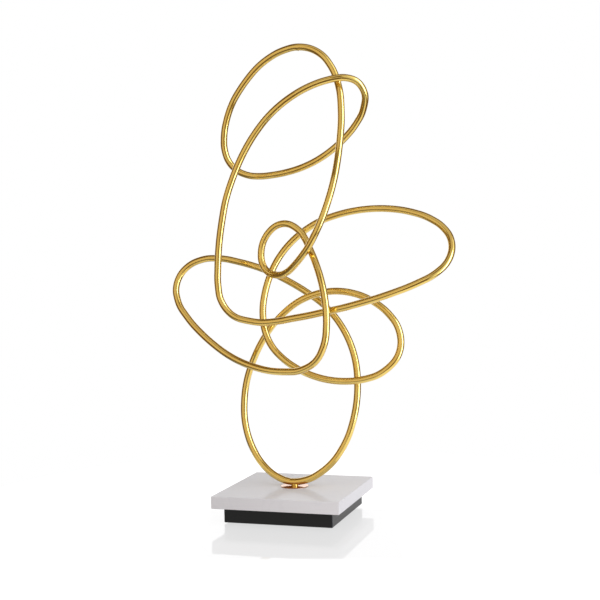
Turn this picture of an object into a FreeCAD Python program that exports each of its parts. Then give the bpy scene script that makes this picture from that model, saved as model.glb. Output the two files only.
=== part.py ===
import FreeCAD, Part
import math
import os

os.makedirs("parts", exist_ok=True)

# Knot sculpture of bent round bar on a square marble slab and a dark plinth.
# Millimetres, +Z up, +Y to the back. The origin is the centre of the felt's underside.

# The knot, measured on the middle of its bar
knot_width = 340.0
knot_depth = 86.0
knot_height = 510.0
bar_od = 8.3

# Dowels that line up the butt joints, and their drilled holes
dowel_od = 3.0
dowel_length = 12.0
dowel_chamfer = 0.4
dowel_play = 0.05
dowel_end_play = 0.5

# Foot: a shouldered stud brazed under the lowest bend, and the thin flange that it clamps
neck_od = 8.0
neck_height = 0.3
braze_gap = 0.1
flange_od = 33.0
flange_thickness = 0.8
flange_edge_radius = 0.3
stud_od = 6.0
stud_end_chamfer = 0.8
stud_hole_play = 0.2
thread_play = 0.05
stud_past_nut = 1.6

# Marble slab
slab_side = 152.0
slab_thickness = 14.2
slab_chamfer = 0.7
slab_hole_play = 0.5

# Plinth below the slab, set in on all sides, with a recess for the nut
plinth_inset = 11.4
plinth_height = 17.6
plinth_chamfer = 0.6
recess_od = 24.0
recess_depth = 9.8

# Washer, nut and felt
washer_od = 18.0
washer_thickness = 1.6
washer_chamfer = 0.25
nut_across_flats = 10.0
nut_height = 5.0
nut_chamfer_share = 0.1
felt_inset = 6.0
felt_thickness = 1.0

# One length past a face, for every cut
overrun = 1.0

# Levels, from the rest surface up
plinth_bottom = felt_thickness
slab_bottom = plinth_bottom + plinth_height
slab_top = slab_bottom + slab_thickness
flange_top = slab_top + flange_thickness
bar_underside = flange_top + neck_height
foot_level = bar_underside + bar_od / 2
recess_top = plinth_bottom + recess_depth
washer_bottom = recess_top - washer_thickness
nut_bottom = washer_bottom - nut_height
stud_bottom = nut_bottom - stud_past_nut
plinth_side = slab_side - 2 * plinth_inset

# How much of the bar's radius the neck's saddle reaches up beside the bar
saddle_share = 0.4

# The bar's route through the knot, bend by bend. Each place is three shares: of the width to the right,
# of the depth to the back and of the height above the foot. A bend ends where the next one starts.
route_shares = {
    "crown_left": [
        (0.0500, -0.0001, 0.9991), (-0.0138, 0.0152, 0.9936), (-0.0737, 0.0465, 0.9771), (-0.1741, 0.1046, 0.9190),
        (-0.2115, 0.1377, 0.8858), (-0.2385, 0.1746, 0.8484), (-0.2530, 0.2121, 0.8145), (-0.2570, 0.2575, 0.7799),
        (-0.2463, 0.2931, 0.7530), (-0.2202, 0.3234, 0.7316), (-0.1767, 0.3473, 0.7180)],
    "crown_right": [
        (-0.1292, 0.3624, 0.7147), (-0.0888, 0.3766, 0.7164), (-0.0489, 0.3935, 0.7201), (0.0412, 0.4050, 0.7364),
        (0.1808, 0.3602, 0.7933), (0.2219, 0.3119, 0.8197), (0.2546, 0.2438, 0.8492), (0.2697, 0.0881, 0.8924),
        (0.2535, 0.0020, 0.9104)],
    "flank_left": [
        (0.2154, -0.0887, 0.9193), (0.1854, -0.1339, 0.9178), (0.1555, -0.1688, 0.9137), (0.0932, -0.2297, 0.8991),
        (0.0255, -0.2906, 0.8730), (-0.0358, -0.3249, 0.8395), (-0.0876, -0.3549, 0.7981), (-0.1309, -0.3718, 0.7524),
        (-0.1648, -0.3815, 0.7050), (-0.1923, -0.3840, 0.6557), (-0.2101, -0.3805, 0.6043), (-0.2235, -0.3718, 0.5521),
        (-0.2305, -0.3607, 0.5062), (-0.2331, -0.3494, 0.4604), (-0.2256, -0.3416, 0.4271), (-0.1933, -0.3271, 0.3948)],
    "wing_right": [
        (-0.1051, -0.3016, 0.3742), (-0.0165, -0.3033, 0.3760), (0.0279, -0.3099, 0.3811), (0.0722, -0.3141, 0.3859),
        (0.1678, -0.3264, 0.3986), (0.2154, -0.3312, 0.4052), (0.2626, -0.3255, 0.4131), (0.3604, -0.2989, 0.4318),
        (0.4547, -0.2321, 0.4551), (0.5120, -0.1656, 0.4747), (0.5506, -0.0676, 0.5003), (0.5543, 0.1366, 0.5545),
        (0.5228, 0.2238, 0.5813), (0.4775, 0.2810, 0.6010), (0.4006, 0.3430, 0.6189)],
    "waist_left": [
        (0.3180, 0.3730, 0.6272), (0.1508, 0.3265, 0.6163), (0.0867, 0.2950, 0.6019), (0.0285, 0.2562, 0.5788),
        (-0.0517, 0.1624, 0.5216), (-0.0921, 0.0469, 0.4524), (-0.0990, -0.0465, 0.3885), (-0.0883, -0.0875, 0.3510),
        (-0.0625, -0.1158, 0.3167), (-0.0176, -0.1331, 0.2864), (0.0365, -0.1403, 0.2634)],
    "waist_right": [
        (0.1990, -0.1403, 0.2376), (0.2621, -0.1222, 0.2417), (0.3213, -0.0932, 0.2555), (0.3843, -0.0230, 0.3068),
        (0.3766, 0.0231, 0.3567), (0.3425, 0.0396, 0.3890), (0.2968, 0.0473, 0.4136)],
    "foot_left": [
        (0.1769, 0.0582, 0.4400), (0.0431, 0.0813, 0.4242), (-0.0593, 0.1160, 0.3760), (-0.1411, 0.1510, 0.3017),
        (-0.1912, 0.1631, 0.2078), (-0.1872, 0.1275, 0.1180), (-0.1630, 0.0959, 0.0754), (-0.1242, 0.0574, 0.0387),
        (-0.0753, 0.0216, 0.0133)],
    "foot_right": [
        (-0.0144, 0.0008, 0.0003), (0.0481, 0.0148, 0.0064), (0.1032, 0.0481, 0.0278), (0.1835, 0.1049, 0.0979),
        (0.2068, 0.1400, 0.1448), (0.2187, 0.1749, 0.1938), (0.1984, 0.2560, 0.3080), (0.1022, 0.3141, 0.4038),
        (0.0329, 0.3132, 0.4385), (-0.0414, 0.3017, 0.4679), (-0.1241, 0.2932, 0.4938)],
    "wing_left": [
        (-0.2111, 0.2795, 0.5120), (-0.2786, 0.2617, 0.5214), (-0.3478, 0.2274, 0.5205), (-0.3944, 0.1840, 0.5079),
        (-0.4276, 0.1302, 0.4838), (-0.4391, 0.0749, 0.4523), (-0.4263, 0.0226, 0.4209), (-0.3781, -0.0522, 0.3789),
        (-0.3187, -0.1221, 0.3433), (-0.1553, -0.2848, 0.2805)],
    "heart_right": [
        (0.0040, -0.4421, 0.2628), (0.0707, -0.5010, 0.2673), (0.1296, -0.5464, 0.2894), (0.1612, -0.5648, 0.3277),
        (0.1689, -0.5516, 0.3685), (0.1636, -0.5041, 0.4132), (0.1484, -0.4313, 0.4555), (0.1115, -0.2824, 0.5129),
        (0.0868, -0.1942, 0.5413), (0.0703, -0.1465, 0.5599), (0.0499, -0.1119, 0.5775)],
    "heart_left": [
        (-0.0114, -0.0725, 0.5975), (-0.0853, -0.0489, 0.5650), (-0.0988, -0.0509, 0.5371), (-0.0943, -0.0714, 0.5080),
        (-0.0762, -0.1030, 0.4899)],
    "spine": [
        (-0.0457, -0.1457, 0.4808), (-0.0157, -0.1895, 0.4806), (0.0112, -0.2352, 0.4872), (0.0347, -0.2784, 0.4983),
        (0.0565, -0.3156, 0.5114), (0.1004, -0.3787, 0.5443), (0.1355, -0.4079, 0.5830), (0.1755, -0.3256, 0.6599),
        (0.1955, -0.0926, 0.7801), (0.1973, -0.0206, 0.8426), (0.1870, 0.0218, 0.9047), (0.1638, 0.0398, 0.9467),
        (0.1229, 0.0341, 0.9813), (0.0885, 0.0140, 0.9941)],
}


def place(shares):
    """A point of the route from its three shares."""
    across, back, up = shares
    return FreeCAD.Vector(across * knot_width, back * knot_depth, foot_level + up * knot_height)


def circle_tangent(before, here, after):
    """Direction, at the middle one of three points, of the circle through them."""
    first, second = here - before, after - here
    direction = first * (second.Length / first.Length) + second * (first.Length / second.Length)
    return direction.normalize()


def arc_from(start, leaving, end):
    """Arc that leaves its start in a given direction, with the direction in which it arrives."""
    chord = end - start
    along = chord.dot(leaving)
    inward = chord - leaving * along
    half_turn = math.atan2(inward.Length, along)
    inward.normalize()
    reach = chord.Length / (2 * math.cos(half_turn / 2))
    middle = start + (leaving * math.cos(half_turn / 2) + inward * math.sin(half_turn / 2)) * reach
    arriving = leaving * math.cos(2 * half_turn) + inward * math.sin(2 * half_turn)
    return Part.Arc(start, middle, end).toShape(), arriving.normalize()


def arc_pair(start, leaving, end, arriving):
    """Two arcs that meet smoothly and join two points with the direction given at each."""
    span = end - start
    both = span.dot(leaving + arriving)
    turn = 2 * (1 - leaving.dot(arriving))
    reach = (math.sqrt(both * both + turn * span.dot(span)) - both) / turn
    meeting = (start + end + (leaving - arriving) * reach) * 0.5
    first, passing = arc_from(start, leaving, meeting)
    second, _ = arc_from(meeting, passing, end)
    return [first, second]


def plan_route():
    """The closed route as one chain of arcs, cut into its bends, and the joint where each bend starts."""
    points, owners = [], []
    for name, rows in route_shares.items():
        for shares in rows:
            points.append(place(shares))
            owners.append(name)
    count = len(points)
    directions = [circle_tangent(points[i - 1], points[i], points[(i + 1) % count]) for i in range(count)]
    bends = {name: [] for name in route_shares}
    joints = {}
    for i, name in enumerate(owners):
        following = (i + 1) % count
        joints.setdefault(name, (points[i], directions[i]))
        bends[name] += arc_pair(points[i], directions[i], points[following], directions[following])
    return bends, joints


def round_bar(arcs, radius):
    """Round bar of one radius along a chain of arcs."""
    start = arcs[0].valueAt(arcs[0].FirstParameter)
    direction = arcs[0].tangentAt(arcs[0].FirstParameter)
    section = Part.Face(Part.Wire([Part.Circle(start, direction, radius).toShape()]))
    return Part.Wire(arcs).makePipe(section)


def dowel_hole(joint):
    """Drill that sinks one dowel's hole into both bars at a joint."""
    middle, direction = joint
    reach = dowel_length / 2 + dowel_end_play
    return Part.makeCylinder(dowel_od / 2 + dowel_play, 2 * reach, middle - direction * reach, direction)


def dowel(joint):
    """Straight dowel with chamfered ends, half in each bar."""
    middle, direction = joint
    pin = Part.makeCylinder(dowel_od / 2, dowel_length, middle - direction * (dowel_length / 2), direction)
    rims = [edge for edge in pin.Edges if isinstance(edge.Curve, Part.Circle)]
    return pin.makeChamfer(dowel_chamfer, rims)


def rim_edges(solid, level, radius):
    """Circular edges of one radius at one level."""
    return [edge for edge in solid.Edges if isinstance(edge.Curve, Part.Circle)
            and math.isclose(edge.Curve.Center.z, level, abs_tol=1e-6)
            and math.isclose(edge.Curve.Radius, radius, abs_tol=1e-6)]


def centred_block(side, height, bottom):
    """Square block centred on the stud."""
    return Part.makeBox(side, side, height, FreeCAD.Vector(-side / 2, -side / 2, bottom))


def outer_edges(block, levels):
    """A square block's four upright edges, and its straight edges at the given levels."""
    chosen = []
    for edge in block.Edges:
        if isinstance(edge.Curve, Part.Line):
            ends = edge.BoundBox
            upright = ends.ZLength > max(ends.XLength, ends.YLength)
            if upright or any(math.isclose(ends.ZMin, level, abs_tol=1e-6) for level in levels):
                chosen.append(edge)
    return chosen


def make_foot_stud(foot_arcs):
    """Shouldered stud: a neck saddled to the bend above, and a long shank down to the nut."""
    saddle_top = bar_underside + saddle_share * bar_od / 2
    neck = Part.makeCylinder(neck_od / 2, saddle_top - flange_top, FreeCAD.Vector(0, 0, flange_top))
    neck = neck.cut(round_bar(foot_arcs, bar_od / 2 + braze_gap))
    shank = Part.makeCylinder(stud_od / 2, flange_top - stud_bottom, FreeCAD.Vector(0, 0, stud_bottom))
    shank = shank.makeChamfer(stud_end_chamfer, rim_edges(shank, stud_bottom, stud_od / 2))
    return neck.fuse(shank).removeSplitter()


def make_flange():
    """Thin disc with a rounded upper rim."""
    disc = Part.makeCylinder(flange_od / 2, flange_thickness, FreeCAD.Vector(0, 0, slab_top))
    disc = disc.makeFillet(flange_edge_radius, rim_edges(disc, flange_top, flange_od / 2))
    hole = Part.makeCylinder(stud_od / 2 + stud_hole_play, flange_thickness + 2 * overrun,
                             FreeCAD.Vector(0, 0, slab_top - overrun))
    return disc.cut(hole)


def make_slab():
    """Square slab with a narrow chamfer on every edge and a hole for the stud."""
    block = centred_block(slab_side, slab_thickness, slab_bottom)
    block = block.makeChamfer(slab_chamfer, outer_edges(block, (slab_bottom, slab_top)))
    hole = Part.makeCylinder(stud_od / 2 + slab_hole_play, slab_thickness + 2 * overrun,
                             FreeCAD.Vector(0, 0, slab_bottom - overrun))
    return block.cut(hole)


def make_plinth():
    """Square plinth with a hole for the stud and a wider recess below it for the nut."""
    block = centred_block(plinth_side, plinth_height, plinth_bottom)
    block = block.makeChamfer(plinth_chamfer, outer_edges(block, (plinth_bottom,)))
    hole = Part.makeCylinder(stud_od / 2 + slab_hole_play, plinth_height + 2 * overrun,
                             FreeCAD.Vector(0, 0, plinth_bottom - overrun))
    recess = Part.makeCylinder(recess_od / 2, recess_depth + overrun,
                               FreeCAD.Vector(0, 0, plinth_bottom - overrun))
    return block.cut(hole.fuse(recess))


def make_washer():
    """Flat washer with a chamfered lower rim."""
    ring = Part.makeCylinder(washer_od / 2, washer_thickness, FreeCAD.Vector(0, 0, washer_bottom))
    ring = ring.makeChamfer(washer_chamfer, rim_edges(ring, washer_bottom, washer_od / 2))
    hole = Part.makeCylinder(stud_od / 2 + stud_hole_play, washer_thickness + 2 * overrun,
                             FreeCAD.Vector(0, 0, washer_bottom - overrun))
    return ring.cut(hole)


def make_nut():
    """Hexagon nut, its corners turned down at both faces, on the stud's nominal thread."""
    corner = nut_across_flats / (2 * math.cos(math.pi / 6))
    ring = [FreeCAD.Vector(corner * math.cos(i * math.pi / 3), corner * math.sin(i * math.pi / 3), nut_bottom)
            for i in range(7)]
    body = Part.Face(Part.makePolygon(ring)).extrude(FreeCAD.Vector(0, 0, nut_height))
    drop = nut_chamfer_share * nut_height
    flat = nut_across_flats / 2
    turned = Part.makeCylinder(corner, nut_height - 2 * drop, FreeCAD.Vector(0, 0, nut_bottom + drop))
    for level, low, high in ((nut_bottom, flat, corner), (nut_bottom + nut_height - drop, corner, flat)):
        turned = turned.fuse(Part.makeCone(low, high, drop, FreeCAD.Vector(0, 0, level)))
    bore = Part.makeCylinder(stud_od / 2 + thread_play, nut_height + 2 * overrun,
                             FreeCAD.Vector(0, 0, nut_bottom - overrun))
    return body.common(turned).cut(bore).removeSplitter()


def make_felt():
    """Square felt sheet glued under the plinth, over the nut's recess."""
    side = plinth_side - 2 * felt_inset
    return centred_block(side, felt_thickness, 0)


def least_crossing(bends):
    """Least clear distance between bars that pass each other, on points spread along the route."""
    samples, travelled = [], 0.0
    for arcs in bends.values():
        for arc in arcs:
            steps = max(2, math.ceil(arc.Length / (bar_od / 4)))
            for i in range(steps):
                span = arc.LastParameter - arc.FirstParameter
                samples.append((travelled + arc.Length * i / steps, arc.valueAt(arc.FirstParameter + span * i / steps)))
            travelled += arc.Length
    least = knot_height
    for i, (at, point) in enumerate(samples):
        for other_at, other in samples[i + 1:]:
            apart = min(other_at - at, travelled - (other_at - at))
            if apart > 6 * bar_od:
                least = min(least, (other - point).Length)
    return least - bar_od, travelled


def save(node, shape):
    """Write one node, and say how many solids it holds."""
    shape.exportStep(os.path.join("parts", node + ".step"))
    print(node, len(shape.Solids), "solid(s)", round(shape.Volume, 1), "mm3", "valid" if shape.isValid() else "NOT VALID")


bends, joints = plan_route()
names = list(bends)
for number, name in enumerate(names):
    bar = round_bar(bends[name], bar_od / 2)
    for joint in (joints[name], joints[names[(number + 1) % len(names)]]):
        bar = bar.cut(dowel_hole(joint))
    save(name, bar)
save("joint_dowels", Part.makeCompound([dowel(joint) for joint in joints.values()]))

# The arcs on either side of the foot's joint carry the stud's saddle
save("foot_stud", make_foot_stud(bends["foot_left"][-1:] + bends["foot_right"][:2]))
save("foot_flange", make_flange())
save("marble_slab", make_slab())
save("plinth", make_plinth())
save("stud_washer", make_washer())
save("stud_nut", make_nut())
save("felt_sheet", make_felt())

clear, total = least_crossing(bends)
radii = sorted(arc.Curve.Radius for arcs in bends.values() for arc in arcs)
print("bar length", round(total), "least bend radius", round(radii[0], 1), "least gap at a crossing", round(clear, 1))
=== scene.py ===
import bpy
import numpy as np
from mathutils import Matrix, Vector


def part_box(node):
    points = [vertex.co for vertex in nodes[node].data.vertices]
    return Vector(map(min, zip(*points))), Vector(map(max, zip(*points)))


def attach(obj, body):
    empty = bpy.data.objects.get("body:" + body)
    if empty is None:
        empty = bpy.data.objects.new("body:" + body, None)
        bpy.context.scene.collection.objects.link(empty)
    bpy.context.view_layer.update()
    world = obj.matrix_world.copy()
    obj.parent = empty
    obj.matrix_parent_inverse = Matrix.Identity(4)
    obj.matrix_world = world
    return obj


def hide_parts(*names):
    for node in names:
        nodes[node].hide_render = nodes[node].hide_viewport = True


# Knot sculpture: twelve bends of gold-plated round bar, joined end to end into one closed loop that stands by a
# single foot on a polished marble slab. A stud through the slab clamps it to a black lacquered plinth on felt.
# Metres, +Z up, +Y to the back. The sections follow the order in which the piece is put together.

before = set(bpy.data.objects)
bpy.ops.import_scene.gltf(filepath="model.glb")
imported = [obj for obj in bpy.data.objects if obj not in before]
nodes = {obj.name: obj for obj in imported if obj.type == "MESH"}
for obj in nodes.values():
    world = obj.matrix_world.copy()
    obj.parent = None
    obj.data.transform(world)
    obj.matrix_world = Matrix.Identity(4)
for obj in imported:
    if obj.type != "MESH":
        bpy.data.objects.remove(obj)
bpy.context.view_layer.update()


# The knot: twelve bends of 8.3 mm round brass bar, each bent cold over a former, butted on dowels and brazed, then
# filed flush, polished along the bar, plated with gold and clear lacquered. Only two of the joints can be seen,
# as a low step under the crown and a fine file cut over the foot.
knot_width, knot_depth, knot_height = 0.340, 0.086, 0.510
bar_radius, foot_level = 0.00412, 0.03805
dowel_hole_radius, dowel_hole_depth = 0.00155, 0.0065
sides_of_bar, rings_per_arc = 36, 9
crown_step_height, crown_step_reach = 0.00045, 0.0022
file_cut_depth, file_cut_reach = 0.00045, 0.0009
route_shares = {
    "crown_left": [
        (0.0500, -0.0001, 0.9991), (-0.0138, 0.0152, 0.9936), (-0.0737, 0.0465, 0.9771), (-0.1741, 0.1046, 0.9190),
        (-0.2115, 0.1377, 0.8858), (-0.2385, 0.1746, 0.8484), (-0.2530, 0.2121, 0.8145), (-0.2570, 0.2575, 0.7799),
        (-0.2463, 0.2931, 0.7530), (-0.2202, 0.3234, 0.7316), (-0.1767, 0.3473, 0.7180)],
    "crown_right": [
        (-0.1292, 0.3624, 0.7147), (-0.0888, 0.3766, 0.7164), (-0.0489, 0.3935, 0.7201), (0.0412, 0.4050, 0.7364),
        (0.1808, 0.3602, 0.7933), (0.2219, 0.3119, 0.8197), (0.2546, 0.2438, 0.8492), (0.2697, 0.0881, 0.8924),
        (0.2535, 0.0020, 0.9104)],
    "flank_left": [
        (0.2154, -0.0887, 0.9193), (0.1854, -0.1339, 0.9178), (0.1555, -0.1688, 0.9137), (0.0932, -0.2297, 0.8991),
        (0.0255, -0.2906, 0.8730), (-0.0358, -0.3249, 0.8395), (-0.0876, -0.3549, 0.7981), (-0.1309, -0.3718, 0.7524),
        (-0.1648, -0.3815, 0.7050), (-0.1923, -0.3840, 0.6557), (-0.2101, -0.3805, 0.6043), (-0.2235, -0.3718, 0.5521),
        (-0.2305, -0.3607, 0.5062), (-0.2331, -0.3494, 0.4604), (-0.2256, -0.3416, 0.4271), (-0.1933, -0.3271, 0.3948)],
    "wing_right": [
        (-0.1051, -0.3016, 0.3742), (-0.0165, -0.3033, 0.3760), (0.0279, -0.3099, 0.3811), (0.0722, -0.3141, 0.3859),
        (0.1678, -0.3264, 0.3986), (0.2154, -0.3312, 0.4052), (0.2626, -0.3255, 0.4131), (0.3604, -0.2989, 0.4318),
        (0.4547, -0.2321, 0.4551), (0.5120, -0.1656, 0.4747), (0.5506, -0.0676, 0.5003), (0.5543, 0.1366, 0.5545),
        (0.5228, 0.2238, 0.5813), (0.4775, 0.2810, 0.6010), (0.4006, 0.3430, 0.6189)],
    "waist_left": [
        (0.3180, 0.3730, 0.6272), (0.1508, 0.3265, 0.6163), (0.0867, 0.2950, 0.6019), (0.0285, 0.2562, 0.5788),
        (-0.0517, 0.1624, 0.5216), (-0.0921, 0.0469, 0.4524), (-0.0990, -0.0465, 0.3885), (-0.0883, -0.0875, 0.3510),
        (-0.0625, -0.1158, 0.3167), (-0.0176, -0.1331, 0.2864), (0.0365, -0.1403, 0.2634)],
    "waist_right": [
        (0.1990, -0.1403, 0.2376), (0.2621, -0.1222, 0.2417), (0.3213, -0.0932, 0.2555), (0.3843, -0.0230, 0.3068),
        (0.3766, 0.0231, 0.3567), (0.3425, 0.0396, 0.3890), (0.2968, 0.0473, 0.4136)],
    "foot_left": [
        (0.1769, 0.0582, 0.4400), (0.0431, 0.0813, 0.4242), (-0.0593, 0.1160, 0.3760), (-0.1411, 0.1510, 0.3017),
        (-0.1912, 0.1631, 0.2078), (-0.1872, 0.1275, 0.1180), (-0.1630, 0.0959, 0.0754), (-0.1242, 0.0574, 0.0387),
        (-0.0753, 0.0216, 0.0133)],
    "foot_right": [
        (-0.0144, 0.0008, 0.0003), (0.0481, 0.0148, 0.0064), (0.1032, 0.0481, 0.0278), (0.1835, 0.1049, 0.0979),
        (0.2068, 0.1400, 0.1448), (0.2187, 0.1749, 0.1938), (0.1984, 0.2560, 0.3080), (0.1022, 0.3141, 0.4038),
        (0.0329, 0.3132, 0.4385), (-0.0414, 0.3017, 0.4679), (-0.1241, 0.2932, 0.4938)],
    "wing_left": [
        (-0.2111, 0.2795, 0.5120), (-0.2786, 0.2617, 0.5214), (-0.3478, 0.2274, 0.5205), (-0.3944, 0.1840, 0.5079),
        (-0.4276, 0.1302, 0.4838), (-0.4391, 0.0749, 0.4523), (-0.4263, 0.0226, 0.4209), (-0.3781, -0.0522, 0.3789),
        (-0.3187, -0.1221, 0.3433), (-0.1553, -0.2848, 0.2805)],
    "heart_right": [
        (0.0040, -0.4421, 0.2628), (0.0707, -0.5010, 0.2673), (0.1296, -0.5464, 0.2894), (0.1612, -0.5648, 0.3277),
        (0.1689, -0.5516, 0.3685), (0.1636, -0.5041, 0.4132), (0.1484, -0.4313, 0.4555), (0.1115, -0.2824, 0.5129),
        (0.0868, -0.1942, 0.5413), (0.0703, -0.1465, 0.5599), (0.0499, -0.1119, 0.5775)],
    "heart_left": [
        (-0.0114, -0.0725, 0.5975), (-0.0853, -0.0489, 0.5650), (-0.0988, -0.0509, 0.5371), (-0.0943, -0.0714, 0.5080),
        (-0.0762, -0.1030, 0.4899)],
    "spine": [
        (-0.0457, -0.1457, 0.4808), (-0.0157, -0.1895, 0.4806), (0.0112, -0.2352, 0.4872), (0.0347, -0.2784, 0.4983),
        (0.0565, -0.3156, 0.5114), (0.1004, -0.3787, 0.5443), (0.1355, -0.4079, 0.5830), (0.1755, -0.3256, 0.6599),
        (0.1955, -0.0926, 0.7801), (0.1973, -0.0206, 0.8426), (0.1870, 0.0218, 0.9047), (0.1638, 0.0398, 0.9467),
        (0.1229, 0.0341, 0.9813), (0.0885, 0.0140, 0.9941)],
}


def length_of(vectors):
    """Length of each vector, kept as a column so that it divides them."""
    return np.linalg.norm(vectors, axis=-1, keepdims=True)


def arcs(starts, along, ends):
    """Circular arcs that leave their starts along the given directions. An arc goes forwards by radius * sin and
    inwards by radius * (1 - cos). Gives the points and directions at equal shares of each arc, without its end,
    and the directions of arrival."""
    chord = ends - starts
    forwards = (chord * along).sum(axis=1, keepdims=True)
    inwards = chord - along * forwards
    half_turn = np.arctan2(length_of(inwards), forwards)
    inwards = inwards / length_of(inwards)
    radius = (length_of(chord) / (2 * np.sin(half_turn)))[:, None]
    angle = 2 * half_turn[:, None] * np.linspace(0, 1, rings_per_arc, endpoint=False)[None, :, None]
    middle = starts[:, None] + radius * (np.sin(angle) * along[:, None] + (1 - np.cos(angle)) * inwards[:, None])
    heading = np.cos(angle) * along[:, None] + np.sin(angle) * inwards[:, None]
    return middle, heading, np.cos(2 * half_turn) * along + np.sin(2 * half_turn) * inwards


def line_of_arcs(points):
    """Middle line of the closed bar, two arcs from each route point to the next. The direction at a point is that
    of the circle through it and its neighbours, and the pair meets where both arcs have one direction. Gives, for
    each pair, the points and directions along both arcs."""
    before, after = points - np.roll(points, 1, axis=0), np.roll(points, -1, axis=0) - points
    leaving = before * (length_of(after) / length_of(before)) + after * (length_of(before) / length_of(after))
    leaving = leaving / length_of(leaving)
    arriving, ends = np.roll(leaving, -1, axis=0), np.roll(points, -1, axis=0)
    both = (after * (leaving + arriving)).sum(axis=1, keepdims=True)
    turn = 2 * (1 - (leaving * arriving).sum(axis=1, keepdims=True))
    reach = (np.sqrt(both ** 2 + turn * length_of(after) ** 2) - both) / turn
    meeting = (points + ends + (leaving - arriving) * reach) / 2
    first_middle, first_heading, turned = arcs(points, leaving, meeting)
    second_middle, second_heading = arcs(meeting, turned, ends)[:2]
    return (np.concatenate([first_middle, second_middle], axis=1),
            np.concatenate([first_heading, second_heading], axis=1))


def skin(name, rings, sharp_rings=()):
    """A closed surface over rings of points, in an array of ring, place round it, and x, y, z. Each ring closes on
    itself and joins the next, and flat faces fill the first and last. Rings named as sharp keep a crisp edge."""
    count, around = rings.shape[:2]
    here = np.arange(count * around).reshape(count, around)
    beside = np.roll(here, -1, axis=1)
    quads = np.stack([here[:-1], beside[:-1], beside[1:], here[1:]], axis=-1).reshape(-1, 4)
    mesh = bpy.data.meshes.new(name)
    mesh.from_pydata(rings.reshape(-1, 3), [], quads.tolist() + [here[0, ::-1].tolist(), here[-1].tolist()])
    mesh.shade_smooth()
    ends = np.zeros(len(mesh.edges) * 2, np.int32)
    mesh.edges.foreach_get("vertices", ends)
    ring_of_end = ends.reshape(-1, 2) // around
    crisp = np.isin(ring_of_end[:, 0], np.array(sharp_rings, int) % count) & (ring_of_end[:, 0] == ring_of_end[:, 1])
    mesh.attributes.new("sharp_edge", "BOOLEAN", "EDGE").data.foreach_set("value", crisp)
    piece = bpy.data.objects.new(name, mesh)
    bpy.context.scene.collection.objects.link(piece)
    return piece


def joint_work(bend, along, spoke):
    """What the joints add to the bar's radius. Under the crown's joint the bar stands proud by a step that dies
    away as exp(-(distance / reach) ** 2), and over the foot's joint a file cut falls away to the rim likewise."""
    below, above = np.clip(-spoke[..., 2], 0, 1) ** 2, np.clip(spoke[..., 2], 0, 1)
    if bend == "crown_left":
        return crown_step_height * below * np.exp(-(along / crown_step_reach) ** 2)[:, None]
    if bend == "foot_right":
        return -file_cut_depth * above * np.exp(-(along / file_cut_reach) ** 2)[:, None]
    if bend == "foot_left":
        return -file_cut_depth * above * np.exp(-((along[-1] - along) / file_cut_reach) ** 2)[:, None]
    return np.zeros(spoke.shape[:2])


def bar_rings(bend, middle, heading, along):
    """Rings of a round bar: middle + radius * (cos * across + sin * up), where across is square to the heading and
    to the bend's flattest direction, and the joints' work is added to the radius. Each end turns in over its rim
    and down the straight hole drilled for the dowel."""
    flattest = np.linalg.svd(heading)[2][2]
    across = np.cross(flattest, heading)
    across = across / length_of(across)
    up = np.cross(heading, across)
    angle = np.linspace(0, 2 * np.pi, sides_of_bar, endpoint=False)
    spoke = np.cos(angle)[None, :, None] * across[:, None] + np.sin(angle)[None, :, None] * up[:, None]
    tube = middle[:, None] + spoke * (bar_radius + joint_work(bend, along, spoke))[..., None]
    holes = []
    for end, inwards in ((0, 1), (-1, -1)):
        bottom, rim = middle[end] + heading[end] * inwards * dowel_hole_depth, middle[end]
        holes.append(np.stack([bottom + spoke[end] * dowel_hole_radius, rim + spoke[end] * dowel_hole_radius]))
    return np.concatenate([holes[0], tube, holes[1][::-1]])


def linear(hex_colour):
    """sRGB hex to linear colour: each channel plus 0.055, over 1.055, to the power 2.4, or over 12.92 near black."""
    channels = np.array([int(hex_colour[i:i + 2], 16) for i in (1, 3, 5)]) / 255
    curved = np.where(channels <= 0.04045, channels / 12.92, ((channels + 0.055) / 1.055) ** 2.4)
    return (*(float(channel) for channel in curved), 1.0)


def add_node(tree, kind, inputs, **settings):
    """Adds one node with its settings, and fills each input named with a value or with another node's output."""
    made = tree.nodes.new(kind)
    for name, value in settings.items():
        setattr(made, name, value)
    for name, value in inputs.items():
        if isinstance(value, bpy.types.NodeSocket):
            tree.links.new(value, made.inputs[name])
        else:
            made.inputs[name].default_value = value
    return made


def new_material(name, finish):
    """A material whose Principled shader takes its constant finish straight on its own sockets."""
    material = bpy.data.materials.new(name)
    material.use_nodes = True
    shader = material.node_tree.nodes["Principled BSDF"]
    for socket, value in finish.items():
        shader.inputs[socket].default_value = value
    return material, material.node_tree, shader


# Gold plate over polished brass, under thin clear lacquer. The eye gets a warm mirror that breaks into pale and
# dark lines along the bar, a slow drift between yellower and redder gold, fine polishing lines, and the slight
# waver that bending by hand leaves in the highlights.
gold_yellow, gold_red, drift_length = "#F3D472", "#EFCA66", 0.045
yellow_below, red_above = 0.35, 0.65
waver_length, waver_height = 0.011, 0.00004
polish_length, polish_width, polish_height = 0.016, 0.0005, 0.0000012   # as fine as can show; real lines are finer
gold_smoothest, gold_roughest, smooth_below, rough_above = 0.14, 0.17, 0.3, 0.7
gold, tree, shader = new_material("gold_plate_polished", {
    "Metallic": 1.0, "Coat Weight": 1.0, "Coat Roughness": 0.06, "Coat IOR": 1.5})
bar_place = add_node(tree, "ShaderNodeAttribute", {}, attribute_name="bar_place").outputs["Vector"]
drift = add_node(tree, "ShaderNodeTexNoise", {"Vector": bar_place, "Scale": 1 / drift_length, "Detail": 2.0})
tint = add_node(tree, "ShaderNodeValToRGB", {"Fac": drift.outputs["Fac"]})
tint.color_ramp.elements[0].position, tint.color_ramp.elements[0].color = yellow_below, linear(gold_yellow)
tint.color_ramp.elements[1].position, tint.color_ramp.elements[1].color = red_above, linear(gold_red)
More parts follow.
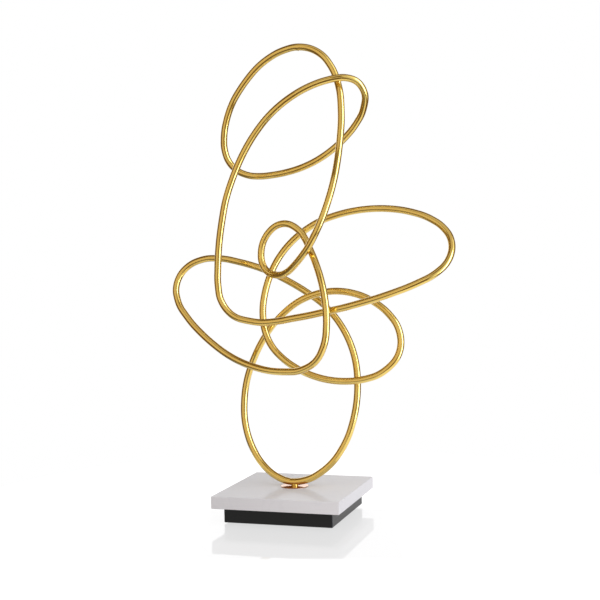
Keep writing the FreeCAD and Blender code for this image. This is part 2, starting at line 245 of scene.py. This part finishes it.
tree.links.new(tint.outputs["Color"], shader.inputs["Base Color"])
drawn_out = add_node(tree, "ShaderNodeMapping", {
    "Vector": bar_place, "Scale": (1 / polish_length, 1 / polish_width, 1 / polish_width)})
lines = add_node(tree, "ShaderNodeTexNoise", {"Vector": drawn_out.outputs["Vector"], "Scale": 1.0, "Detail": 3.0})
sheen = add_node(tree, "ShaderNodeMapRange", {
    "Value": lines.outputs["Fac"], "From Min": smooth_below, "From Max": rough_above,
    "To Min": gold_smoothest, "To Max": gold_roughest})
tree.links.new(sheen.outputs["Result"], shader.inputs["Roughness"])
waver = add_node(tree, "ShaderNodeTexNoise", {"Vector": bar_place, "Scale": 1 / waver_length, "Detail": 1.0})
hand_bent = add_node(tree, "ShaderNodeBump", {
    "Height": waver.outputs["Fac"], "Strength": 1.0, "Distance": waver_height})
scored = add_node(tree, "ShaderNodeBump", {
    "Height": lines.outputs["Fac"], "Normal": hand_bent.outputs["Normal"], "Strength": 1.0,
    "Distance": polish_height})
tree.links.new(scored.outputs["Normal"], shader.inputs["Normal"])

route = np.concatenate([np.array(rows) for rows in route_shares.values()])
route = route * (knot_width, knot_depth, knot_height) + (0, 0, foot_level)
arcs_middle, arcs_heading = line_of_arcs(route)
first_point = 0
for bend, rows in route_shares.items():
    chosen = np.arange(first_point, first_point + len(rows))
    first_point += len(rows)
    following = first_point % len(route)
    middle = np.concatenate([arcs_middle[chosen].reshape(-1, 3), arcs_middle[following, :1]])
    heading = np.concatenate([arcs_heading[chosen].reshape(-1, 3), arcs_heading[following, :1]])
    along = np.concatenate([[0], np.cumsum(length_of(np.diff(middle, axis=0)))])
    rings = bar_rings(bend, middle, heading, along)
    bar = skin("bar_" + bend, rings, sharp_rings=(0, 1, 2, -3, -2, -1))
    at = np.concatenate([[along[0]] * 2, along, [along[-1]] * 2])
    angle = np.linspace(0, 2 * np.pi, sides_of_bar, endpoint=False)
    unrolled = np.stack([np.broadcast_to(at[:, None], rings.shape[:2]),
                         np.broadcast_to(bar_radius * np.cos(angle), rings.shape[:2]),
                         np.broadcast_to(bar_radius * np.sin(angle), rings.shape[:2])], axis=-1)
    bar.data.attributes.new("bar_place", "FLOAT_VECTOR", "POINT").data.foreach_set("vector", unrolled.ravel())
    bar.data.materials.append(gold)
    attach(bar, "root")
    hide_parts(bend)


# Dowels: 3 mm ground steel pins, chamfered, one across each joint and hidden in the bar.
# Ground steel is a cool grey mirror, dulled by the fine speckle that the wheel leaves.
steel_pale, steel_deep, grind_width = "#C9CBCD", "#B4B7BA", 0.0002
steel_smoothest, steel_roughest = 0.18, 0.34
dowel_steel, tree, shader = new_material("steel_ground", {"Metallic": 1.0})
place = add_node(tree, "ShaderNodeTexCoord", {}).outputs["Object"]
grind = add_node(tree, "ShaderNodeTexNoise", {"Vector": place, "Scale": 1 / grind_width, "Detail": 2.0})
tint = add_node(tree, "ShaderNodeValToRGB", {"Fac": grind.outputs["Fac"]})
tint.color_ramp.elements[0].color, tint.color_ramp.elements[1].color = linear(steel_pale), linear(steel_deep)
tree.links.new(tint.outputs["Color"], shader.inputs["Base Color"])
dulled = add_node(tree, "ShaderNodeMapRange", {
    "Value": grind.outputs["Fac"], "To Min": steel_smoothest, "To Max": steel_roughest})
tree.links.new(dulled.outputs["Result"], shader.inputs["Roughness"])
nodes["joint_dowels"].data.materials[0] = dowel_steel


# Foot stud: turned from brass bar. Its 8 mm neck stands on the flange and is brazed round the underside of the
# lowest bend, and its 6 mm shank runs down through the base, threaded at the end for the nut.
neck_radius, shank_radius, end_chamfer, shoulder_relief = 0.004, 0.003, 0.0008, 0.00005
thread_pitch, thread_depth, thread_length, run_out = 0.001, 0.0006, 0.0115, 0.0015
neck_height, neck_upright, neck_taper = 0.00285, 0.0018, 0.0006
braze_flare, braze_fall = 0.00035, 0.00012
stud_sides, thread_rings, neck_rings = 48, 157, 24


def stud_rings(bottom, shoulder):
    """Rings of the stud round the upright axis. On the shank the radius is the 6 mm one less a V thread, a
    triangle wave of level / pitch - turn, which fades out over the run-out and is chamfered at the end. On the
    neck it is the 8 mm one, flared where the braze has run, and tapered in where it enters the bar."""
    turn = np.arange(stud_sides) / stud_sides
    thread_top = bottom + thread_length + run_out
    threaded = np.linspace(bottom, thread_top, thread_rings)[:, None]
    wave = 2 * np.abs((threaded / thread_pitch - turn + 0.5) % 1 - 0.5)
    fade = np.clip((thread_top - threaded) / run_out, 0, 1)
    shank = np.minimum(shank_radius - thread_depth * fade * wave, shank_radius - end_chamfer + threaded - bottom)
    rise = np.concatenate([[0], np.linspace(0, neck_height, neck_rings)])[:, None]
    neck = neck_radius + braze_flare * np.exp(-rise / braze_fall)
    neck = neck - neck_taper * np.clip((rise - neck_upright) / (neck_height - neck_upright), 0, 1) ** 2
    neck[0] = shank_radius
    radius = np.concatenate([shank, np.full((1, stud_sides), shank_radius), neck + 0 * turn])
    level = np.concatenate([threaded, [[shoulder - shoulder_relief]], shoulder + rise]) + 0 * turn
    return np.stack([radius * np.cos(2 * np.pi * turn), radius * np.sin(2 * np.pi * turn), level], axis=-1)


# Turned brass under the same gold plate: fine rings round the axis spread the reflections up and down a little.
turning_width, turning_height = 0.00025, 0.000004
turned_smoothest, turned_roughest = 0.14, 0.24
gold_turned, tree, shader = new_material("gold_plate_turned", {"Metallic": 1.0})
place = add_node(tree, "ShaderNodeTexCoord", {}).outputs["Object"]
flat_place = add_node(tree, "ShaderNodeVectorMath", {0: place, 1: (1, 1, 0)}, operation="MULTIPLY")
from_axis = add_node(tree, "ShaderNodeVectorMath", {0: flat_place.outputs["Vector"]}, operation="LENGTH")
height = add_node(tree, "ShaderNodeSeparateXYZ", {"Vector": place}).outputs["Z"]
on_lathe = add_node(tree, "ShaderNodeCombineXYZ", {"X": from_axis.outputs["Value"], "Z": height})
turning = add_node(tree, "ShaderNodeTexNoise", {
    "Vector": on_lathe.outputs["Vector"], "Scale": 1 / turning_width, "Detail": 1.0})
tint = add_node(tree, "ShaderNodeValToRGB", {"Fac": turning.outputs["Fac"]})
tint.color_ramp.elements[0].color, tint.color_ramp.elements[1].color = linear(gold_red), linear(gold_yellow)
tree.links.new(tint.outputs["Color"], shader.inputs["Base Color"])
spread = add_node(tree, "ShaderNodeMapRange", {
    "Value": turning.outputs["Fac"], "To Min": turned_smoothest, "To Max": turned_roughest})
tree.links.new(spread.outputs["Result"], shader.inputs["Roughness"])
ringed = add_node(tree, "ShaderNodeBump", {
    "Height": turning.outputs["Fac"], "Strength": 1.0, "Distance": turning_height})
tree.links.new(ringed.outputs["Normal"], shader.inputs["Normal"])

stud_bottom, shoulder_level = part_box("foot_stud")[0][2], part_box("foot_flange")[1][2]
shoulder_rings = (thread_rings, thread_rings + 1, thread_rings + 2)
stud = skin("stud_turned", stud_rings(stud_bottom, shoulder_level), shoulder_rings)
stud.data.materials.append(gold_turned)
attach(stud, "root")
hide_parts("foot_stud")


# Foot flange: a thin turned disc with a rounded rim, which the neck of the stud clamps to the marble. Its gold is
# pinker than the bar's, and darker as painted shade for the dark under the bar; it is faced smooth enough to mirror
# the bar's dark underside.
flange_pale_shaded, flange_deep_shaded, facing_width = "#CFA68A", "#BF9374", 0.0004
faced_smoothest, faced_roughest = 0.10, 0.17
gold_faced_shaded, tree, shader = new_material("gold_plate_faced_shaded", {"Metallic": 1.0})
place = add_node(tree, "ShaderNodeTexCoord", {}).outputs["Object"]
from_axis = add_node(tree, "ShaderNodeVectorMath", {0: place}, operation="LENGTH")
facing = add_node(tree, "ShaderNodeTexNoise", {
    "W": from_axis.outputs["Value"], "Scale": 1 / facing_width, "Detail": 1.0}, noise_dimensions="1D")
tint = add_node(tree, "ShaderNodeValToRGB", {"Fac": facing.outputs["Fac"]})
# Painted shade: both flange colours are darker and pinker than the bar's gold, for the dark that the flange mirrors
# under the bar.
tint.color_ramp.elements[0].color, tint.color_ramp.elements[1].color = linear(flange_deep_shaded), linear(flange_pale_shaded)
tree.links.new(tint.outputs["Color"], shader.inputs["Base Color"])
spread = add_node(tree, "ShaderNodeMapRange", {
    "Value": facing.outputs["Fac"], "To Min": faced_smoothest, "To Max": faced_roughest})
tree.links.new(spread.outputs["Result"], shader.inputs["Roughness"])
nodes["foot_flange"].data.materials[0] = gold_faced_shaded


# Marble slab: 152 mm square and 14.2 mm thick, sawn from white marble, its edges eased, polished all over and
# drilled for the stud. It is nearly white and very quiet, with soft grey clouds and a few thread-like veins. A
# painted shade turns the whole block a little greyer to the left, away from the window's light.
marble_white, marble_cloud, marble_vein = "#EFEAEC", "#EDE8EA", "#E5E1E4"
cloud_size, cloud_fold, cloudy_below, white_above = 0.055, 0.05, 0.38, 0.62
vein_spacing, vein_strength, vein_share = 0.070, 0.24, 0.02
painted_shade_left, painted_shade_deepest_at, painted_shade_ends_at = 0.90, -0.076, 0.040
crystal_size, marble_smoothest, marble_roughest = 0.0011, 0.16, 0.20
marble, tree, shader = new_material("marble_polished", {"IOR": 1.49, "Specular IOR Level": 0.02})
place = add_node(tree, "ShaderNodeTexCoord", {}).outputs["Object"]
folding = add_node(tree, "ShaderNodeTexNoise", {"Vector": place, "Scale": 1 / cloud_size, "Detail": 4.0})
folded = add_node(tree, "ShaderNodeVectorMath", {
    0: folding.outputs["Color"], 1: (cloud_fold, cloud_fold, cloud_fold), 2: place}, operation="MULTIPLY_ADD")
cloud = add_node(tree, "ShaderNodeTexNoise", {
    "Vector": folded.outputs["Vector"], "Scale": 1 / cloud_size, "Detail": 6.0, "Roughness": 0.55})
clouded = add_node(tree, "ShaderNodeValToRGB", {"Fac": cloud.outputs["Fac"]})
clouded.color_ramp.elements[0].position, clouded.color_ramp.elements[0].color = cloudy_below, linear(marble_cloud)
clouded.color_ramp.elements[1].position, clouded.color_ramp.elements[1].color = white_above, linear(marble_white)
vein = add_node(tree, "ShaderNodeTexNoise", {
    "Vector": folded.outputs["Vector"], "Scale": 1 / vein_spacing, "Detail": 3.0, "Distortion": 0.6})
off_vein = add_node(tree, "ShaderNodeMath", {0: vein.outputs["Fac"], 1: 0.5}, operation="SUBTRACT")
beside_vein = add_node(tree, "ShaderNodeMath", {0: off_vein.outputs["Value"]}, operation="ABSOLUTE")
on_vein = add_node(tree, "ShaderNodeMapRange", {
    "Value": beside_vein.outputs["Value"], "From Min": 0.0, "From Max": vein_share,
    "To Min": vein_strength, "To Max": 0.0}, interpolation_type="SMOOTHSTEP")
veined = add_node(tree, "ShaderNodeMix", {
    "Factor": on_vein.outputs["Result"], 6: clouded.outputs["Color"], 7: linear(marble_vein)}, data_type="RGBA")
# Painted shade: the marble's colour is scaled down from full at the right to 0.90 at the left end, for the light
# falling off away from the window.
sideways = add_node(tree, "ShaderNodeSeparateXYZ", {"Vector": place}).outputs["X"]
painted_shade_across = add_node(tree, "ShaderNodeMapRange", {
    "Value": sideways, "From Min": painted_shade_deepest_at, "From Max": painted_shade_ends_at, "To Min": painted_shade_left, "To Max": 1.0})
veined_and_shaded = add_node(tree, "ShaderNodeVectorMath", {
    0: veined.outputs[2], 3: painted_shade_across.outputs["Result"]}, operation="SCALE")
tree.links.new(veined_and_shaded.outputs["Vector"], shader.inputs["Base Color"])
crystals = add_node(tree, "ShaderNodeTexNoise", {"Vector": place, "Scale": 1 / crystal_size, "Detail": 1.0})
polish = add_node(tree, "ShaderNodeMapRange", {
    "Value": crystals.outputs["Fac"], "To Min": marble_smoothest, "To Max": marble_roughest})
tree.links.new(polish.outputs["Result"], shader.inputs["Roughness"])
nodes["marble_slab"].data.materials[0] = marble


# Plinth: 17.6 mm board, set in under the slab, bored for the stud and recessed for the nut, sprayed with black
# lacquer. The lacquer is a deep neutral black with a satin shine, and the grain stands through it very faintly.
lacquer_black, lacquer_grey, black_below, grey_above = "#050607", "#0A0B0D", 0.3, 0.7
grain_length, grain_width, grain_height = 0.030, 0.0009, 0.00003
lacquer_smoothest, lacquer_roughest = 0.26, 0.38
lacquer, tree, shader = new_material("wood_black_lacquered", {"IOR": 1.5, "Specular IOR Level": 0.30})
place = add_node(tree, "ShaderNodeTexCoord", {}).outputs["Object"]
drawn_out = add_node(tree, "ShaderNodeMapping", {
    "Vector": place, "Scale": (1 / grain_length, 1 / grain_length, 1 / grain_width)})
grain = add_node(tree, "ShaderNodeTexNoise", {"Vector": drawn_out.outputs["Vector"], "Scale": 1.0, "Detail": 4.0})
tint = add_node(tree, "ShaderNodeValToRGB", {"Fac": grain.outputs["Fac"]})
tint.color_ramp.elements[0].position, tint.color_ramp.elements[0].color = black_below, linear(lacquer_black)
tint.color_ramp.elements[1].position, tint.color_ramp.elements[1].color = grey_above, linear(lacquer_grey)
tree.links.new(tint.outputs["Color"], shader.inputs["Base Color"])
satin = add_node(tree, "ShaderNodeMapRange", {
    "Value": grain.outputs["Fac"], "To Min": lacquer_smoothest, "To Max": lacquer_roughest})
tree.links.new(satin.outputs["Result"], shader.inputs["Roughness"])
raised = add_node(tree, "ShaderNodeBump", {
    "Height": grain.outputs["Fac"], "Strength": 1.0, "Distance": grain_height})
tree.links.new(raised.outputs["Normal"], shader.inputs["Normal"])
nodes["plinth"].data.materials[0] = lacquer


# Washer and nut: stock steel parts in the plinth's recess, which draw the stud down and clamp the base together.
# They are zinc plated, a pale bluish metal with a faint cloudy bloom.
zinc_pale, zinc_bloom, bloom_size, pale_below, bloom_above = "#CBD0D6", "#B7BEC4", 0.0025, 0.35, 0.65
zinc_smoothest, zinc_roughest = 0.26, 0.44
zinc, tree, shader = new_material("steel_zinc_plated", {"Metallic": 1.0})
place = add_node(tree, "ShaderNodeTexCoord", {}).outputs["Object"]
bloom = add_node(tree, "ShaderNodeTexNoise", {"Vector": place, "Scale": 1 / bloom_size, "Detail": 3.0})
tint = add_node(tree, "ShaderNodeValToRGB", {"Fac": bloom.outputs["Fac"]})
tint.color_ramp.elements[0].position, tint.color_ramp.elements[0].color = pale_below, linear(zinc_pale)
tint.color_ramp.elements[1].position, tint.color_ramp.elements[1].color = bloom_above, linear(zinc_bloom)
tree.links.new(tint.outputs["Color"], shader.inputs["Base Color"])
dulled = add_node(tree, "ShaderNodeMapRange", {
    "Value": bloom.outputs["Fac"], "To Min": zinc_smoothest, "To Max": zinc_roughest})
tree.links.new(dulled.outputs["Result"], shader.inputs["Roughness"])
nodes["stud_washer"].data.materials[0] = zinc
nodes["stud_nut"].data.materials[0] = zinc


# Felt: a square of 1 mm black wool felt, cut with a knife and glued under the plinth, over the nut's recess, so
# that the base doesn't scratch the table. The pile leaves its underside slightly uneven, and the knife its edge.
pile_height, cut_waver, pile_seed = 0.00005, 0.0001, 5
squares_out, steps_round, innermost_share, edge_levels = 40, 240, 0.02, (0.35, 0.7)


def felt_rings(low, high):
    """Square rings of a closed sheet: out from the middle of the underside, up the cut edge, and in again over
    the top. A ring's place is its share of the half side times the square cos, sin / max(|cos|, |sin|). The
    underside and the cut edge are moved in at random by up to the pile's height and the knife's waver."""
    random = np.random.default_rng(pile_seed)
    angle = np.linspace(0, 2 * np.pi, steps_round, endpoint=False)
    square = np.stack([np.cos(angle), np.sin(angle)], axis=-1)
    square = square / np.abs(square).max(axis=-1, keepdims=True)
    outwards = np.linspace(innermost_share, 1, squares_out)
    share = np.concatenate([outwards, [1, 1], outwards[::-1]])
    level = np.concatenate([np.zeros(squares_out), edge_levels, np.ones(squares_out)])
    flat = share[:, None, None] * square * (high[0] - low[0]) / 2
    edge = (share == 1)[:, None, None] * square * random.uniform(0, cut_waver, (len(share), steps_round, 1))
    pile = (level == 0)[:, None] * random.uniform(0, pile_height, (len(share), steps_round))
    return np.concatenate([flat - edge, (low[2] + level[:, None] * (high[2] - low[2]) + pile)[..., None]], axis=-1)


# Wool felt: soft and matt, with a grey bloom at a low angle and paler stray fibres.
felt_black, felt_lint, black_below, lint_above = "#1A1A1C", "#2C2C2F", 0.45, 0.75
fibre_size, mat_height = 0.0006, 0.0002
wool, tree, shader = new_material("felt_wool_black", {"Roughness": 0.95, "Sheen Weight": 0.3, "Sheen Roughness": 0.5})
place = add_node(tree, "ShaderNodeTexCoord", {}).outputs["Object"]
fibres = add_node(tree, "ShaderNodeTexNoise", {
    "Vector": place, "Scale": 1 / fibre_size, "Detail": 4.0, "Distortion": 1.5})
tint = add_node(tree, "ShaderNodeValToRGB", {"Fac": fibres.outputs["Fac"]})
tint.color_ramp.elements[0].position, tint.color_ramp.elements[0].color = black_below, linear(felt_black)
tint.color_ramp.elements[1].position, tint.color_ramp.elements[1].color = lint_above, linear(felt_lint)
tree.links.new(tint.outputs["Color"], shader.inputs["Base Color"])
matted = add_node(tree, "ShaderNodeBump", {
    "Height": fibres.outputs["Fac"], "Strength": 1.0, "Distance": mat_height})
tree.links.new(matted.outputs["Normal"], shader.inputs["Normal"])

felt_low, felt_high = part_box("felt_sheet")
felt = skin("felt_pad", felt_rings(felt_low, felt_high), (squares_out - 1, squares_out + 2))
felt.data.materials.append(wool)
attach(felt, "root")
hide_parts("felt_sheet")


# Camera: where the photograph was taken from, at the height of the knot's middle, well to the right of the base's
# front, and tipped down and rolled by a degree or two.
camera_place = np.array((0.41169196, -1.23908965, 0.29306548))
turned_right, tipped_down, rolled = 0.31228719, 0.03078237, 0.02217524
film_width, lens_length = 36.0, 66.6035   # millimetres
level_right = np.array((np.cos(turned_right), np.sin(turned_right), 0))
level_ahead = np.array((-np.sin(turned_right), np.cos(turned_right), 0))
upright = np.array((0, 0, 1.0))
ahead = np.cos(tipped_down) * level_ahead - np.sin(tipped_down) * upright
over = np.sin(tipped_down) * level_ahead + np.cos(tipped_down) * upright
picture_right = np.cos(rolled) * level_right - np.sin(rolled) * over
picture_up = np.sin(rolled) * level_right + np.cos(rolled) * over
lens = bpy.data.cameras.new("camera")
lens.sensor_width, lens.lens = film_width, lens_length
camera = bpy.data.objects.new("camera", lens)
camera.matrix_world = np.block([[np.stack([picture_right, picture_up, -ahead], axis=1), camera_place[:, None]],
                                [np.zeros((1, 3)), np.ones((1, 1))]]).T.tolist()
bpy.context.scene.collection.objects.link(camera)
bpy.context.scene.camera = camera


# The photographer's table: a round sheet of white paper with a patch of glossy white acrylic under the base. The
# patch mirrors the base faintly, and its near edge cuts the mirror image off as the photograph does. On all sides
# it goes over softly into the paper's white.
table_radius, table_bottom, table_top, table_sides = 0.45, -0.003, -0.0002, 96
acrylic_middle, acrylic_half, paper_from = 0.005, 0.100, 0.140
near_edge, edge_slant, edge_softness, far_edge, far_softness = -0.2049, 0.0842, 0.010, 0.028, 0.012
acrylic_grey, acrylic_shine, acrylic_roughness, mirror_roughness = "#6C6C6E", 0.12, 0.6, 0.02
glow_acrylic, glow_paper, glow_on_piece, glow_on_right = 0.745, 1.0, 0.50, 0.86
seen_close, seen_far, seen_right = 0.70, 0.08, 0.88
close_within, far_beyond, painted_pool_from, painted_pool_full = 0.17, 0.33, -0.02, 0.18
angle = np.linspace(0, 2 * np.pi, table_sides, endpoint=False)
rim = np.stack([np.cos(angle), np.sin(angle), 0 * angle], axis=1) * table_radius
table = skin("table", np.stack([rim + (0, 0, table_bottom), rim + (0, 0, table_top)]), (0, 1))
acrylic, tree, shader = new_material("acrylic_white", {
    "Base Color": linear(acrylic_grey), "Roughness": acrylic_roughness, "Emission Color": (1, 1, 1, 1)})
place = add_node(tree, "ShaderNodeTexCoord", {}).outputs["Object"]
from_middle = add_node(tree, "ShaderNodeVectorMath", {0: place}, operation="LENGTH").outputs["Value"]
away = add_node(tree, "ShaderNodeVectorMath", {
    0: place, 1: tuple(level_ahead + edge_slant * level_right)}, operation="DOT_PRODUCT").outputs["Value"]
to_right = add_node(tree, "ShaderNodeVectorMath", {
    0: place, 1: tuple(level_right)}, operation="DOT_PRODUCT").outputs["Value"]
off_middle = add_node(tree, "ShaderNodeMath", {0: to_right, 1: acrylic_middle}, operation="SUBTRACT")
beside = add_node(tree, "ShaderNodeMath", {0: off_middle.outputs["Value"]}, operation="ABSOLUTE")
inside = add_node(tree, "ShaderNodeMapRange", {
    "Value": beside.outputs["Value"], "From Min": acrylic_half, "From Max": paper_from, "To Min": 1.0, "To Max": 0.0},
    interpolation_type="SMOOTHSTEP")
behind_edge = add_node(tree, "ShaderNodeMapRange", {
    "Value": away, "From Min": near_edge - edge_softness, "From Max": near_edge + edge_softness},
    interpolation_type="SMOOTHSTEP")
before_edge = add_node(tree, "ShaderNodeMapRange", {
    "Value": away, "From Min": far_edge - far_softness, "From Max": far_edge + far_softness,
    "To Min": 1.0, "To Max": 0.0}, interpolation_type="SMOOTHSTEP")
between = add_node(tree, "ShaderNodeMath", {
    0: behind_edge.outputs["Result"], 1: before_edge.outputs["Result"]}, operation="MULTIPLY")
on_acrylic = add_node(tree, "ShaderNodeMath", {
    0: inside.outputs["Result"], 1: between.outputs["Value"]}, operation="MULTIPLY")
shine = add_node(tree, "ShaderNodeMath", {0: on_acrylic.outputs["Value"], 1: acrylic_shine}, operation="MULTIPLY")
in_picture = add_node(tree, "ShaderNodeMix", {
    "Factor": on_acrylic.outputs["Value"], "A": glow_paper, "B": glow_acrylic})
# Painted light: the table glows, and its glow stands in for the light on it. What polished metal mirrors of it is
# bright by the base, dark towards the room, and brighter on the right as a painted pool of window light. The matt
# pieces get an even light from its glow that is also stronger on the right.
falling = add_node(tree, "ShaderNodeMapRange", {
    "Value": from_middle, "From Min": close_within, "From Max": far_beyond, "To Min": seen_close,
    "To Max": seen_far}, interpolation_type="SMOOTHSTEP")
# Painted light: the table's glow rises towards the right, standing in for the window's light falling on it.
painted_window_pool = add_node(tree, "ShaderNodeMapRange", {
    "Value": to_right, "From Min": painted_pool_from, "From Max": painted_pool_full}, interpolation_type="SMOOTHSTEP")
in_metal = add_node(tree, "ShaderNodeMix", {
    "Factor": painted_window_pool.outputs["Result"], "A": falling.outputs["Result"], "B": seen_right})
on_matt = add_node(tree, "ShaderNodeMix", {
    "Factor": painted_window_pool.outputs["Result"], "A": glow_on_piece, "B": glow_on_right})
ray = add_node(tree, "ShaderNodeLightPath", {})
on_piece = add_node(tree, "ShaderNodeMix", {
    "Factor": ray.outputs["Is Glossy Ray"], "A": on_matt.outputs[0], "B": in_metal.outputs[0]})
glow = add_node(tree, "ShaderNodeMix", {
    "Factor": ray.outputs["Is Camera Ray"], "A": on_piece.outputs[0], "B": in_picture.outputs[0]})
tree.links.new(glow.outputs[0], shader.inputs["Emission Strength"])
mirror = add_node(tree, "ShaderNodeBsdfAnisotropic", {"Roughness": mirror_roughness})
laid = add_node(tree, "ShaderNodeMixShader", {
    0: shine.outputs["Value"], 1: shader.outputs["BSDF"], 2: mirror.outputs["BSDF"]})
tree.links.new(laid.outputs["Shader"], tree.nodes["Material Output"].inputs["Surface"])
table.data.materials.append(acrylic)


# Studio: a wide window of cool soft light to the right, a warm board at the front left, a small fill and an
# overhead, and white paper behind the piece. A narrow strip of sky in the window is only mirrored, and gives the
# metal its pale streaks.
piece_middle = np.array((0, 0, 0.28))
daylight, sky_blue = (0.88, 0.96, 1.0), (0.52, 0.66, 1.0)
warm_white, plain_white = (1.0, 0.94, 0.84), (1.0, 1.0, 1.0)


def softbox(name, bearing, rise, distance, width, height, brightness, colour, only_mirrored=False):
    """A rectangular lamp facing the piece. Its bearing is counted from the camera's side towards the right, and
    its power is pi * area * brightness, so that a mirror sees it at that brightness. One that is only mirrored
    lights nothing that is matt."""
    bearing, rise = np.radians((bearing, rise))
    out = np.cos(rise) * (np.cos(bearing) * -level_ahead + np.sin(bearing) * level_right) + np.sin(rise) * upright
    lamp = bpy.data.lights.new(name, "AREA")
    lamp.shape, lamp.size, lamp.size_y = "RECTANGLE", width, height
    lamp.energy, lamp.color = float(np.pi * width * height * brightness), colour
    holder = bpy.data.objects.new(name, lamp)
    across = np.cross(upright, out)
    across = across / np.linalg.norm(across)
    holder.matrix_world = np.block([
        [np.stack([across, np.cross(out, across), out], axis=1), (piece_middle + out * distance)[:, None]],
        [np.zeros((1, 3)), np.ones((1, 1))]]).T.tolist()
    holder.visible_camera, holder.visible_diffuse = False, not only_mirrored
    bpy.context.scene.collection.objects.link(holder)


# Each line: name, bearing and rise in degrees, distance, width and height in metres, brightness, colour.
softbox("window", 54, 10, 2.0, 3.1, 4.2, 0.62, daylight)
softbox("window_middle", 56, 9, 1.95, 1.7, 3.7, 0.50, daylight)
softbox("strip", 58, 7, 1.9, 0.46, 2.4, 7.8, sky_blue, only_mirrored=True)
softbox("board", -38, 12, 2.0, 2.7, 2.4, 0.56, warm_white)
softbox("fill", 5, 12, 2.1, 0.8, 0.9, 0.40, daylight)
softbox("overhead", 25, 72, 1.6, 2.2, 0.8, 0.46, plain_white)

# Polished metal mirrors a dark brown room round the lamps, and matt surfaces get the soft light of its walls and
# ceiling. A low bright band runs round it all. The acrylic mirrors it, so that its patch looks white too.
room_brown, walls, ceiling = (0.165, 0.105, 0.050, 1), (0.232, 0.224, 0.226, 1), (0.460, 0.475, 0.490, 1)
paper_turn, paper_fades_at, paper_full_at = np.radians(5), 0.62, 0.97
band_low, band_high, band_brightness, band_foot, band_fade = 0.205, 0.267, 2.15, 0.005, 0.02
paper_middle = np.cos(paper_turn) * level_ahead - np.sin(paper_turn) * level_right
world = bpy.data.worlds.new("studio")
world.use_nodes = True
tree = world.node_tree
direction = add_node(tree, "ShaderNodeTexCoord", {}).outputs["Generated"]
behind = add_node(tree, "ShaderNodeVectorMath", {0: direction, 1: tuple(paper_middle)}, operation="DOT_PRODUCT")
on_paper = add_node(tree, "ShaderNodeMapRange", {
    "Value": behind.outputs["Value"], "From Min": paper_fades_at, "From Max": paper_full_at})
height = add_node(tree, "ShaderNodeSeparateXYZ", {"Vector": direction}).outputs["Z"]
rising = add_node(tree, "ShaderNodeMapRange", {
    "Value": height, "From Min": band_low - band_foot, "From Max": band_low})
ending = add_node(tree, "ShaderNodeMapRange", {
    "Value": height, "From Min": band_high, "From Max": band_high + band_fade, "To Min": 1.0, "To Max": 0.0})
band = add_node(tree, "ShaderNodeMath", {
    0: rising.outputs["Result"], 1: ending.outputs["Result"]}, operation="MULTIPLY")
brighter = add_node(tree, "ShaderNodeMath", {
    0: band.outputs["Value"], 1: band_brightness - 1, 2: 1.0}, operation="MULTIPLY_ADD")
ray = add_node(tree, "ShaderNodeLightPath", {})
soft_part = add_node(tree, "ShaderNodeMix", {"Factor": height, 6: walls, 7: ceiling}, data_type="RGBA")
dark_part = add_node(tree, "ShaderNodeMix", {
    "Factor": ray.outputs["Is Glossy Ray"], 6: soft_part.outputs[2], 7: room_brown}, data_type="RGBA")
room = add_node(tree, "ShaderNodeMix", {
    "Factor": on_paper.outputs["Result"], 6: dark_part.outputs[2], 7: (1, 1, 1, 1)}, data_type="RGBA")
lit = add_node(tree, "ShaderNodeVectorMath", {0: room.outputs[2], 3: brighter.outputs["Value"]}, operation="SCALE")
backdrop = add_node(tree, "ShaderNodeMix", {
    "Factor": ray.outputs["Is Camera Ray"], 6: lit.outputs["Vector"], 7: (1, 1, 1, 1)}, data_type="RGBA")
tree.links.new(backdrop.outputs[2], tree.nodes["Background"].inputs["Color"])
bpy.context.scene.world = world
bpy.context.scene.view_settings.view_transform = "Standard"
